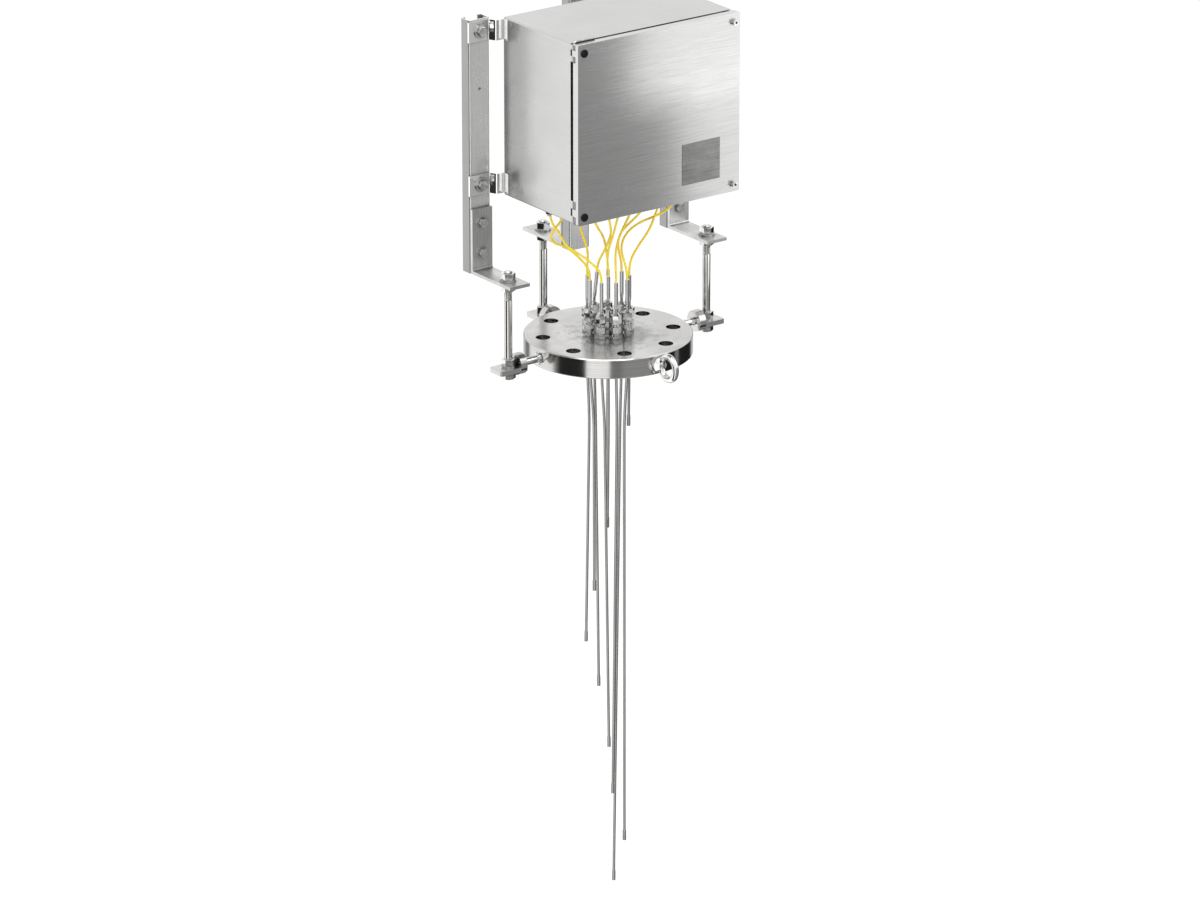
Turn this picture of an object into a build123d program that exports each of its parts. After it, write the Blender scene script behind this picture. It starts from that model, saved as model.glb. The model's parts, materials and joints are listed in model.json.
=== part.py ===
from build123d import *
from math import cos, pi, radians, sin, tan
import os

os.makedirs("parts", exist_ok=True)

# Flange
flange_dia = 254.0
flange_thick = 30.2
raised_face_dia = 157.2
raised_face_height = 2.0
flange_edge = 1.5
bolt_circle_dia = 200.2
bolt_hole_dia = 22.2
bolt_count = 8
stud_seat_dia = 20.0
eye_seat_dia = 26.0
rim_seat_depth = 1.0
top = flange_thick
mid_rim = flange_thick / 2

# Sensors
ring_radius = 32.0
sheath_dia = 4.4
sheath_clearance = 0.4
tip_dia = 5.7
tip_length = 14.0
tip_taper = 4.0
port_dia = 10.0
port_depth = 14.0
bend_start = 60.0
bend_end = 130.0

# Compression fittings
fitting_clearance = 0.1
fitting_base_flats = 13.0
fitting_base_height = 4.5
fitting_neck_dia = 9.0
fitting_neck_top = 9.5
fitting_body_flats = 13.0
fitting_body_top = 18.5
fitting_thread_dia = 9.5
fitting_thread_top = 29.7
fitting_nut_flats = 14.0
fitting_nut_bottom = 24.0
fitting_nut_top = 37.0
fitting_cone_height = 3.0
fitting_cone_dia = 7.0
fitting_thread_room = 0.3

# Transition sleeves
sleeve_dia = 6.0
sleeve_lower_dia = 5.0
sleeve_taper = 6.0
sleeve_bottom = 47.0
sleeve_top = 88.0
sleeve_grip = 13.0
lean_height = 44.0

# Junction box body
box_width = 294.0
box_front = -107.0
box_back = 59.0
box_bottom = top + 228.0
box_top = top + 502.0
box_wall = 1.5
box_corner = 2.5
box_height = box_top - box_bottom
box_depth = box_back - box_front
box_middle = (box_top + box_bottom) / 2
return_width = 20.0
neck_length = 14.0
neck_front = box_front - neck_length
box_boss_dia = 9.0
box_boss_height = 4.0

# Side struts
strut_width = 36.5
strut_depth = 21.7
strut_wall = 2.0
strut_lip = 7.0
strut_corner = 3.0
strut_setback = 12.7
strut_face_y = box_back + strut_setback
strut_top = box_top
strut_gap = 35.0
strut_spacing = box_width / 2 + strut_gap
strut_hole_dia = 5.0
strut_hole_height = box_bottom + 167.0

# Angle brackets
bracket_leg = 99.7
bracket_thick = 5.0
bracket_width = 36.0
bracket_inner_radius = 3.0
bracket_top = top + 117.5
strut_overhang = 0.5
strut_bottom = bracket_top - bracket_thick - strut_overhang
bracket_bolt_low = 26.0
bracket_bolt_high = 72.5
rod_reach = 71.7
bracket_slot_length = 18.0

# Threaded rods
rod_dia = 12.0
rod_hole_clearance = 1.0
rod_top_end = 15.3
rod_bottom_end = 12.4
rod_top = bracket_top + rod_top_end
rod_offset = 1.5
rod_spacing = strut_spacing + rod_offset
rod_nut_flats = 19.0
rod_nut_height = 10.0
rod_washer_thick = 2.5
upper_washer_dia = 24.0
lower_washer_dia = 20.0

# Swivel lugs and radial studs
stud_dia = 12.0
stud_depth = 18.0
stud_shoulder_dia = 16.0
stud_shoulder_length = 6.0
stud_clearance = 0.05
lug_disc_dia = 33.0
lug_disc_thick = 11.5
lug_disc_gap = 12.0
lug_disc_outer = rod_spacing - lug_disc_gap
lug_disc_inner = lug_disc_outer - lug_disc_thick
lug_tongue_back = 2.0
lug_tongue_reach = 23.5
lug_tongue_inner = lug_disc_inner - lug_tongue_back
lug_tongue_outer = rod_spacing + lug_tongue_reach
lug_tongue_width = 30.0
lug_tongue_thick = 7.5
lug_tongue_corner = 3.0
lug_tongue_top = top - 16.5
rod_bottom = lug_tongue_top - lug_tongue_thick - rod_bottom_end
set_screw_dia = 5.0
set_screw_clearance = 0.05
set_screw_socket = 2.5

# Lifting eye
eye_ring_radius = 17.5
eye_wire_dia = 10.0
eye_centre = 150.0
eye_collar_dia = 24.0
eye_collar_thick = 5.0
eye_neck_dia = 13.0
eye_shank_dia = 10.0
eye_shank_depth = 17.0

# Cover
cover_stand = 19.0
cover_front = box_front - cover_stand
cover_thick = 1.5
cover_rim_room = 7.0
cover_rim_back = box_front - cover_rim_room
cover_overlap = 0.5
gasket_width = 6.0
cover_screw_inset = 11.0
cover_screw_x = box_width / 2 - cover_screw_inset
cover_screw_high = box_top - 13.0
cover_screw_low = box_bottom + 11.5
cover_screw_dia = 5.0
cover_screw_hole_dia = 5.4
cover_screw_head_dia = 9.0
cover_screw_head_height = 5.5
cover_screw_socket = 4.0
cover_screw_gap = 0.3
cover_washer_dia = 12.0
cover_washer_thick = 1.0
plug_dia = 12.5
plug_dome = 2.2
plug_edge = 1.8
plug_stem_dia = 7.8
plug_stem_length = 5.0
plate_width = 69.0
plate_height = 63.0
plate_inset = 36.0
plate_right = box_width / 2 - plate_inset
plate_left = plate_right - plate_width
plate_bottom = box_bottom + 26.0
plate_top = plate_bottom + plate_height
plate_thick = 0.8
rivet_dia = 3.4
rivet_height = 0.9
rivet_inset = 2.7

# Hinges
hinge_inset = 3.0
hinge_x = -(box_width / 2 - hinge_inset)
hinge_stand = 4.8
hinge_y = box_front - hinge_stand
knuckle_dia = 6.4
knuckle_gap = 0.3
knuckle_web = 4.0
pin_dia = 3.0
pin_clearance = 0.08
hinge_notch_front = box_front - 12.5
upper_hinge = (box_top - 27.0, box_top - 18.0, box_top - 9.0, box_top - 1.6)
lower_hinge = (box_bottom + 1.6, box_bottom + 12.0, box_bottom + 23.0, box_bottom + 35.0)
pin_overrun = 1.5
pin_grip_height = box_top + 2.6
pin_grip_length = 36.0
pin_bend_radius = 4.0

# Box straps
strap_thick = 3.0
strap_height = 31.0
strap_outer_x = strut_spacing + 21.0
strap_crank_x = strut_spacing - 15.0
strap_step_x = strut_spacing - 21.0
strap_step_y = box_back - 1.0
strap_leg_end = box_back - 13.0
strap_bend_radius = 3.5
strap_upper = box_top - 17.5
strap_lower = box_bottom + 20.5
strap_slot_width = 9.0
strap_slot_length = 18.0

# Bolts on the struts
bolt_dia = 8.0
bolt_hole_room = 0.5
bolt_head_flats = 13.0
bolt_head_height = 5.3
bolt_nut_height = 6.5
bolt_end = 1.5
bolt_washer_dia = 22.0
bolt_washer_thick = 2.0
channel_nut_width = 30.0
channel_nut_height = 20.0
channel_nut_thick = 6.0
spacer_dia = 18.0

# Cable glands
gland_count = 10
gland_edge = 30.0
gland_pitch = (box_width - 2 * gland_edge) / (gland_count - 1)
gland_y = -13.0
gland_flats = 18.0
gland_hex_height = 7.0
gland_dome_dia = 16.0
gland_dome_tip_dia = 9.0
gland_length = 17.0
gland_thread_dia = 12.0
gland_hole_room = 0.5
gland_locknut_flats = 17.0
gland_locknut_height = 4.0
gland_bore_room = 0.25

# Terminals on their rail
rail_height = box_bottom + 82.0
rail_front = box_back - 29.0
rail_depth = 7.5
rail_width = 35.0
rail_hat_width = 27.0
rail_thick = 1.0
rail_length = box_width - 18.0
rail_foot_spacing = box_width / 2 - 37.0
rail_foot_size = 14.0
terminal_width = 20.0
terminal_stand = 46.0
terminal_front = rail_front - terminal_stand
terminal_height = 41.0
terminal_hook = 3.5
terminal_room = 0.2
terminal_entry_y = terminal_front + 11.0
terminal_entry_depth = 6.0
terminal_screw_dia = 6.0
terminal_screw_height = 1.6
terminal_screw_spacing = 10.0
terminal_pocket_depth = 3.0

# Earth stud
earth_inset = 11.0
earth_x = -(box_width / 2 - earth_inset)
earth_y = -38.0
earth_dia = 6.0
earth_nut_flats = 10.0
earth_nut_height = 5.0
earth_length = 26.0
earth_below = 9.0

# Leads
lead_dia = 3.5
lead_end_gap = 0.3
lead_gland_start = 201.0
lead_gland_end = 246.0
lead_riser_start = 271.0

# Points of each lead from its sleeve to just under its gland, heights from the flange top
lead_routes = [
    [(-26.2, -18.4, 88), (-26.2, -18.4, 101.5), (-36, -16, 115), (-53, -14, 131), (-71, -12, 144),
     (-88, -11, 158), (-100, -14, 179)],
    [(-31.9, 2.8, 88), (-31.9, 2.8, 101), (-40, 5, 115), (-54, 7, 130), (-69, 7, 144), (-82, 7, 151),
     (-95, 9, 156.5), (-102, 6, 168.5), (-100, -3, 183)],
    [(-22.6, 22.6, 88), (-22.6, 22.6, 101), (-25, 17, 117), (-32, 9, 135), (-43, 2, 153), (-55, -5, 174)],
    [(18.4, 26.2, 88), (18.4, 26.2, 101), (15, 24.5, 116), (7.5, 18, 134), (-6, 6, 152), (-21, -3, 168),
     (-30, -7, 180)],
    [(0.36, 29.13, 87.9), (1.3, 28.3, 101), (4, 19, 118), (6, 9, 136), (5, -1, 155), (-3, -8, 175)],
    [(0, 0, 88), (0, 0, 101), (-2, 0, 117), (-1, -3, 134), (2, -8, 151), (7, -11, 173)],
    [(-8.3, -30.9, 88), (-8.3, -30.9, 102), (-6, -26, 118), (0, -19, 135), (10, -14, 152), (22, -12, 168),
     (30, -11, 179)],
    [(30.9, 8.3, 88), (30.9, 8.3, 101), (28, 11, 117), (27, 13, 133), (32, 11, 149), (42, 4, 162),
     (55, -5, 177)],
    [(29, -13.5, 88), (29, -13.5, 101), (35, -12, 115), (47, -12, 130), (60, -13, 144), (71, -12, 157),
     (79, -11, 173)],
    [(13.5, -29, 88), (13.5, -29, 101), (12, -24, 115), (13, -14, 130), (22, -7, 145), (38, -4, 156),
     (57, -4, 163), (77, -6, 167), (96, -9, 172), (109, -12, 181)],
]

# Directions across and along the slant that the sheaths are told apart by
across = Vector(0.754, -0.657, 0)
along = Vector(0.657, 0.754, 0)

# Each sensor: angle on the ring (None in the centre), depth of its tip under the flange top,
# place across the slant where the bend ends and at the tip, share of its distance along the
# slant kept at the tip, and how far its sleeve leans across over its length
sensors = [
    (215, 655.0, -3.0, 3.8, 1.0, 0.0),
    (175, 407.0, -20.0, -19.6, 0.9, 0.0),
    (135, 497.0, -28.5, -33.8, 0.8, 0.0),
    (55, 231.0, -3.4, -4.5, 0.85, 0.0),
    (95, 576.0, -20.9, -15.9, 0.85, 3.9),
    (None, 311.0, 0.5, -1.2, 1.0, 0.0),
    (255, 735.0, 15.5, 8.9, 0.75, 0.0),
    (15, 898.0, 15.9, 6.8, 0.85, 0.0),
    (335, 150.0, 30.2, 29.9, 0.9, 0.0),
    (295, 816.0, 25.1, 25.9, 0.9, 0.0),
]


def save(name, piece):
    piece.part.label = name
    export_step(piece.part, f"parts/{name}.step")


def facing_front(y):
    return Plane.XZ.offset(-y)


def facing_right(x):
    return Plane.YZ.offset(x)


def radial_plane(angle, radius, height):
    direction = Vector(cos(radians(angle)), sin(radians(angle)), 0)
    return Plane(origin=direction * radius + Vector(0, 0, height), x_dir=(0, 0, 1), z_dir=direction)


def upright_plane(start, up):
    side = up.cross(Vector(0, 1, 0)).normalized()
    return Plane(origin=start, x_dir=side, z_dir=side.cross(up))


def ring_place(angle):
    if angle is None:
        return Vector(0, 0, 0)
    return Vector(ring_radius * cos(radians(angle)), ring_radius * sin(radians(angle)), 0)


def sleeve_direction(lean):
    return (across * (lean / (sleeve_top - sleeve_bottom)) + Vector(0, 0, 1)).normalized()


def lean_point(angle):
    return ring_place(angle) + Vector(0, 0, top + lean_height)


def corner_radii(points):
    radii = []
    for before, corner, after in zip(points, points[1:], points[2:]):
        run_in = Vector(*corner) - Vector(*before)
        run_out = Vector(*after) - Vector(*corner)
        half_turn = radians(run_in.get_angle(run_out)) / 2
        radii.append(0.45 * min(run_in.length, run_out.length) / tan(half_turn))
    return radii


def add_tube(points, diameter):
    with BuildLine() as path:
        FilletPolyline(*points, radius=corner_radii(points))
    with BuildSketch(Plane(origin=path.line @ 0, z_dir=path.line % 0)) as section:
        Circle(diameter / 2)
    sweep(section.sketch, path=path.line)
    return sum(edge.length for edge in path.edges())


def add_hexagon(plane, flats, height, rotation=0.0):
    with BuildSketch(plane) as outline:
        RegularPolygon(flats / 2, 6, major_radius=False, rotation=rotation)
    extrude(outline.sketch, amount=height)


def add_disc(plane, diameter, height, mode=Mode.ADD):
    with BuildSketch(plane) as outline:
        Circle(diameter / 2)
    extrude(outline.sketch, amount=height, mode=mode)


def add_nut(plane, flats, height, bore, rotation=0.0):
    with BuildSketch(plane) as outline:
        RegularPolygon(flats / 2, 6, major_radius=False, rotation=rotation)
        Circle(bore / 2, mode=Mode.SUBTRACT)
    extrude(outline.sketch, amount=height)


def add_washer(plane, diameter, height, bore):
    with BuildSketch(plane) as outline:
        Circle(diameter / 2)
        Circle(bore / 2, mode=Mode.SUBTRACT)
    extrude(outline.sketch, amount=height)


# Process flange, turned from the solid
stud_angles = (0, 90, 180)
eye_angle = 270
stud_hole_dia = stud_dia + 2 * stud_clearance
eye_hole_dia = eye_shank_dia + 2 * stud_clearance
seat_radius = flange_dia / 2 - rim_seat_depth
with BuildPart() as flange:
    with BuildSketch():
        Circle(flange_dia / 2)
    extrude(amount=flange_thick)
    chamfer(flange.edges().filter_by(GeomType.CIRCLE), flange_edge)
    with BuildSketch(Plane.XY):
        Circle(raised_face_dia / 2)
    extrude(amount=-raised_face_height)
    with BuildSketch(Plane.XY.offset(top)):
        with PolarLocations(bolt_circle_dia / 2, bolt_count, start_angle=180 / bolt_count):
            Circle(bolt_hole_dia / 2)
    extrude(amount=-flange_thick, mode=Mode.SUBTRACT)
    with BuildSketch(Plane.XY.offset(top)):
        for angle, *_ in sensors:
            place = ring_place(angle)
            with Locations((place.X, place.Y)):
                Circle(sheath_dia / 2 + sheath_clearance)
    extrude(amount=-flange_thick - raised_face_height, mode=Mode.SUBTRACT)
    with BuildSketch(Plane.XY.offset(top)):
        for angle, *_ in sensors:
            place = ring_place(angle)
            with Locations((place.X, place.Y)):
                Circle(port_dia / 2)
    extrude(amount=-port_depth, mode=Mode.SUBTRACT)
    for angle in stud_angles:
        add_disc(radial_plane(angle, seat_radius, mid_rim), stud_seat_dia, 2 * rim_seat_depth, Mode.SUBTRACT)
        add_disc(radial_plane(angle, seat_radius, mid_rim), stud_hole_dia, -stud_depth, Mode.SUBTRACT)
    add_disc(radial_plane(eye_angle, seat_radius, mid_rim), eye_seat_dia, 2 * rim_seat_depth, Mode.SUBTRACT)
    add_disc(radial_plane(eye_angle, seat_radius, mid_rim), eye_hole_dia, -eye_shank_depth, Mode.SUBTRACT)
save("flange", flange)

# Lifting eye: forged ring, neck and collar in one, with its threaded shank in the rim
eye_plane = facing_right(0)
eye_inner_edge = eye_centre - eye_ring_radius + eye_wire_dia / 2
with BuildPart() as lifting_eye:
    with BuildSketch(Plane(origin=(0, -eye_centre, mid_rim), x_dir=(0, -1, 0), z_dir=(0, 0, 1))):
        with Locations((eye_ring_radius, 0)):
            Circle(eye_wire_dia / 2)
    revolve(axis=Axis((0, -eye_centre, mid_rim), (1, 0, 0)))
    with BuildSketch(eye_plane):
        with BuildLine():
            Polyline(
                (-seat_radius + eye_shank_depth - lead_end_gap, mid_rim),
                (-seat_radius + eye_shank_depth - lead_end_gap, mid_rim + eye_shank_dia / 2),
                (-seat_radius, mid_rim + eye_shank_dia / 2),
                (-seat_radius, mid_rim + eye_collar_dia / 2),
                (-seat_radius - eye_collar_thick, mid_rim + eye_collar_dia / 2),
                (-eye_inner_edge + 1.0, mid_rim + eye_neck_dia / 2),
                (-eye_inner_edge + 1.0, mid_rim),
                close=True,
            )
        make_face()
    revolve(axis=Axis((0, 0, mid_rim), (0, 1, 0)))
save("lifting_eye", lifting_eye)

# Radial studs that carry the swivel lugs
rear_rod_y = strut_face_y + strut_depth + rod_reach
rear_shift = rod_spacing - rear_rod_y
lug_shifts = {0: 0.0, 90: rear_shift, 180: 0.0}
with BuildPart() as radial_studs:
    for angle in stud_angles:
        shank = radial_plane(angle, seat_radius - stud_depth + lead_end_gap, mid_rim)
        reach = lug_disc_outer - lug_shifts[angle] - seat_radius + stud_depth - lead_end_gap
        add_disc(shank, stud_dia, reach)
        add_disc(radial_plane(angle, seat_radius, mid_rim), stud_shoulder_dia, stud_shoulder_length)
save("radial_studs", radial_studs)

# Swivel lugs: a disc bored for the stud with a flat tongue bored for the rod
set_screw_length = lug_disc_dia / 2 - stud_dia / 2
rod_hole_dia = rod_dia + rod_hole_clearance


def swivel_lug(angle):
    shift = lug_shifts[angle]
    turned = Rotation(0, 0, angle)
    with BuildPart() as lug:
        with BuildSketch(radial_plane(0, lug_disc_inner - shift, mid_rim)):
            Circle(lug_disc_dia / 2)
        extrude(amount=lug_disc_outer - lug_disc_inner)
        with BuildSketch(Plane.XY.offset(lug_tongue_top)):
            tongue_middle = (lug_tongue_inner + lug_tongue_outer) / 2 - shift
            with Locations((tongue_middle, 0)):
                RectangleRounded(lug_tongue_outer - lug_tongue_inner, lug_tongue_width, lug_tongue_corner)
        extrude(amount=-lug_tongue_thick)
        with BuildSketch(radial_plane(0, lug_tongue_inner - shift, mid_rim)):
            Circle(stud_hole_dia / 2)
        extrude(amount=lug_disc_outer - lug_tongue_inner + lead_end_gap, mode=Mode.SUBTRACT)
        with BuildSketch(Plane.XY.offset(lug_tongue_top)):
            with Locations((rod_spacing - shift, 0)):
                Circle(rod_hole_dia / 2)
        extrude(amount=-lug_tongue_thick, mode=Mode.SUBTRACT)
        with BuildSketch(Plane.XY.offset(mid_rim)):
            with Locations(((lug_disc_inner + lug_disc_outer) / 2 - shift, 0)):
                Circle(set_screw_dia / 2 + set_screw_clearance)
        extrude(amount=-lug_disc_dia, mode=Mode.SUBTRACT)
    lug.part = turned * lug.part
    return lug


for name, angle in (("right", 0), ("rear", 90), ("left", 180)):
    save(f"swivel_lug_{name}", swivel_lug(angle))

# Set screws that lock each lug on its stud, from below
with BuildPart() as set_screws:
    for angle in stud_angles:
        distance = (lug_disc_inner + lug_disc_outer) / 2 - lug_shifts[angle]
        spot = (distance * cos(radians(angle)), distance * sin(radians(angle)))
        foot = mid_rim - lug_disc_dia / 2 - lead_end_gap
        with BuildSketch(Plane.XY.offset(foot)):
            with Locations(spot):
                Circle(set_screw_dia / 2)
        extrude(amount=set_screw_length)
        with BuildSketch(Plane.XY.offset(foot)):
            with Locations(spot):
                RegularPolygon(set_screw_socket / 2, 6, major_radius=False)
        extrude(amount=set_screw_socket, mode=Mode.SUBTRACT)
save("set_screws", set_screws)

# Threaded rods, their nuts and their washers
rods = (("right", rod_spacing, 0.0, 30.0), ("rear", 0.0, rear_rod_y, 0.0), ("left", -rod_spacing, 0.0, 30.0))
rod_end_chamfer = 1.2
with BuildPart() as threaded_rods:
    for _, x, y, _ in rods:
        with BuildSketch(Plane.XY.offset(rod_bottom)):
            with Locations((x, y)):
                Circle(rod_dia / 2)
        extrude(amount=rod_top - rod_bottom)
    rod_ends = threaded_rods.edges().filter_by(GeomType.CIRCLE)
    chamfer(rod_ends, rod_end_chamfer)
save("threaded_rods", threaded_rods)

nut_bore = rod_dia + 2 * stud_clearance
lug_under = lug_tongue_top - lug_tongue_thick
nut_levels = (
    bracket_top + rod_washer_thick,
    bracket_top - bracket_thick - rod_nut_height,
    lug_tongue_top + rod_washer_thick,
    lug_under - rod_nut_height,
)
with BuildPart() as rod_nuts:
    for _, x, y, turn in rods:
        for level in nut_levels:
            add_nut(Plane((x, y, level)), rod_nut_flats, rod_nut_height, nut_bore, turn)
save("rod_nuts", rod_nuts)

with BuildPart() as rod_washers:
    for _, x, y, _ in rods:
        add_washer(Plane((x, y, bracket_top)), upper_washer_dia, rod_washer_thick, rod_hole_dia)
        add_washer(Plane((x, y, lug_tongue_top)), lower_washer_dia, rod_washer_thick, rod_hole_dia)
save("rod_washers", rod_washers)


# Angle brackets, folded from plate, on the front of the outer struts and the back of the middle one
def angle_bracket(x, face_y, direction):
    leg_top = bracket_top - bracket_thick + bracket_leg
    with BuildPart() as bracket:
        with BuildSketch(facing_right(x - bracket_width / 2)):
            with BuildLine():
                Polyline(
                    (face_y, bracket_top - bracket_thick),
                    (face_y + direction * bracket_leg, bracket_top - bracket_thick),
                    (face_y + direction * bracket_leg, bracket_top),
                    (face_y + direction * bracket_thick, bracket_top),
                    (face_y + direction * bracket_thick, leg_top),
                    (face_y, leg_top),
                    close=True,
                )
            make_face()
        extrude(amount=bracket_width)
        inner_corner = bracket.edges().filter_by(Axis.X).sort_by_distance(
            (x, face_y + direction * bracket_thick, bracket_top)
        )[0]
        fillet(inner_corner, bracket_inner_radius)
        outer_corner = bracket.edges().filter_by(Axis.X).sort_by_distance(
            (x, face_y, bracket_top - bracket_thick)
        )[0]
        fillet(outer_corner, bracket_inner_radius)
        with BuildSketch(Plane((x, face_y + direction * rod_reach, bracket_top))):
            SlotOverall(bracket_slot_length, rod_hole_dia)
        extrude(amount=-bracket_thick, mode=Mode.SUBTRACT)
        with BuildSketch(facing_front(face_y)):
            for height in (bracket_bolt_low, bracket_bolt_high):
                with Locations((x, bracket_top + height)):
                    Circle(bolt_dia / 2 + bolt_hole_room)
        extrude(amount=2 * bracket_thick, both=True, mode=Mode.SUBTRACT)
    return bracket


strut_back_y = strut_face_y + strut_depth
save("bracket_left", angle_bracket(-strut_spacing, strut_face_y, -1))
save("bracket_right", angle_bracket(strut_spacing, strut_face_y, -1))
save("bracket_rear", angle_bracket(0, strut_back_y, 1))

# Struts: folded channels with turned-in lips, web to the front
strut_bolt_heights = {
    -1: (strap_upper, strap_lower, bracket_top + bracket_bolt_high, bracket_top + bracket_bolt_low),
    0: (strap_upper, strap_lower),
    1: (strap_upper, strap_lower, bracket_top + bracket_bolt_high, bracket_top + bracket_bolt_low),
}


def strut(side):
    x = side * strut_spacing
    middle_y = strut_face_y + strut_depth / 2
    with BuildPart() as channel:
        with BuildSketch(Plane.XY.offset(strut_bottom)):
            with Locations((x, middle_y)):
                RectangleRounded(strut_width, strut_depth, strut_corner)
                RectangleRounded(
                    strut_width - 2 * strut_wall,
                    strut_depth - 2 * strut_wall,
                    strut_corner - strut_wall,
                    mode=Mode.SUBTRACT,
                )
            with Locations((x, strut_back_y)):
                Rectangle(strut_width - 2 * strut_lip, 4 * strut_wall, mode=Mode.SUBTRACT)
        extrude(amount=strut_top - strut_bottom)
        with BuildSketch(facing_front(strut_face_y)):
            for height in strut_bolt_heights[side]:
                with Locations((x, height)):
                    Circle(bolt_dia / 2 + bolt_hole_room)
            if side != 0:
                with Locations((x, strut_hole_height)):
                    Circle(strut_hole_dia / 2)
        extrude(amount=-2 * strut_wall, mode=Mode.SUBTRACT)
    return channel


for name, side in (("left", -1), ("middle", 0), ("right", 1)):
    save(f"strut_{name}", strut(side))


# Bolts of the angle brackets, with plain nuts in the outer struts and sliding nuts in the middle one
with BuildPart() as bracket_bolts:
    for side in (-1, 1):
        for height in (bracket_bolt_low, bracket_bolt_high):
            level = bracket_top + height
            place = (side * strut_spacing, strut_face_y - bracket_thick, level)
            head = Plane(place, x_dir=(1, 0, 0), z_dir=(0, 1, 0))
            add_hexagon(head, bolt_head_flats, -bolt_head_height)
            grip = bracket_thick + strut_wall
            add_disc(head, bolt_dia, grip + bolt_nut_height + bolt_end)
            add_nut(head.offset(grip), bolt_head_flats, bolt_nut_height, bolt_dia)
    for height in (bracket_bolt_low, bracket_bolt_high):
        level = bracket_top + height
        head = Plane((0, strut_back_y + bracket_thick, level), x_dir=(1, 0, 0), z_dir=(0, -1, 0))
        add_hexagon(head, bolt_head_flats, -bolt_head_height)
        grip = bracket_thick + strut_wall
        add_disc(head, bolt_dia, grip + channel_nut_thick + bolt_end)
        with BuildSketch(head.offset(grip)) as block:
            Rectangle(channel_nut_width, channel_nut_height)
            Circle(bolt_dia / 2, mode=Mode.SUBTRACT)
        extrude(block.sketch, amount=channel_nut_thick)
save("bracket_bolts", bracket_bolts)


# Mounting straps, cranked flat bars welded to the sides of the box
def add_strap(side, level):
    with BuildLine() as bend:
        FilletPolyline(
            (side * strap_outer_x, strut_face_y - strap_thick / 2, level),
            (side * strap_crank_x, strut_face_y - strap_thick / 2, level),
            (side * strap_step_x, strap_step_y, level),
            (side * (box_width / 2 + strap_thick / 2), strap_step_y, level),
            (side * (box_width / 2 + strap_thick / 2), strap_leg_end, level),
            radius=strap_bend_radius,
        )
    with BuildSketch(Plane(origin=bend.line @ 0, x_dir=(0, 0, 1), z_dir=bend.line % 0)) as section:
        Rectangle(strap_height, strap_thick)
    sweep(section.sketch, path=bend.line)
    front = Plane((side * strut_spacing, strut_face_y, level), x_dir=(1, 0, 0), z_dir=(0, -1, 0))
    with BuildSketch(front) as slot:
        SlotOverall(strap_slot_length, strap_slot_width)
    extrude(slot.sketch, amount=strap_thick, mode=Mode.SUBTRACT)


with BuildPart() as box_straps:
    for side in (-1, 1):
        for level in (strap_upper, strap_lower):
            add_strap(side, level)
save("box_straps", box_straps)

# Bolts that hold the straps on the outer struts and the box's back on the middle strut
with BuildPart() as box_bolts:
    for level in (strap_upper, strap_lower):
        for side in (-1, 1):
            head_y = strut_face_y - strap_thick - bolt_washer_thick
            head = Plane((side * strut_spacing, head_y, level), x_dir=(1, 0, 0), z_dir=(0, 1, 0))
            grip = bolt_washer_thick + strap_thick + strut_wall
            add_hexagon(head, bolt_head_flats, -bolt_head_height)
            add_disc(head, bolt_dia, grip + bolt_nut_height + bolt_end)
            add_nut(head.offset(grip), bolt_head_flats, bolt_nut_height, bolt_dia)
        head = Plane((0, box_back - box_wall, level), x_dir=(1, 0, 0), z_dir=(0, 1, 0))
        grip = box_wall + strut_face_y - box_back + strut_wall
        add_hexagon(head, bolt_head_flats, -bolt_head_height)
        add_disc(head, bolt_dia, grip + bolt_nut_height + bolt_end)
        add_nut(head.offset(grip), bolt_head_flats, bolt_nut_height, bolt_dia)
save("box_bolts", box_bolts)

with BuildPart() as box_washers:
    for level in (strap_upper, strap_lower):
        for side in (-1, 1):
            place = (side * strut_spacing, strut_face_y - strap_thick, level)
            seat = Plane(place, x_dir=(1, 0, 0), z_dir=(0, -1, 0))
            add_washer(seat, bolt_washer_dia, bolt_washer_thick, bolt_dia + bolt_hole_room)
        seat = Plane((0, box_back, level), x_dir=(1, 0, 0), z_dir=(0, 1, 0))
        add_washer(seat, spacer_dia, strut_face_y - box_back, bolt_dia + bolt_hole_room)
save("box_washers", box_washers)

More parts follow.
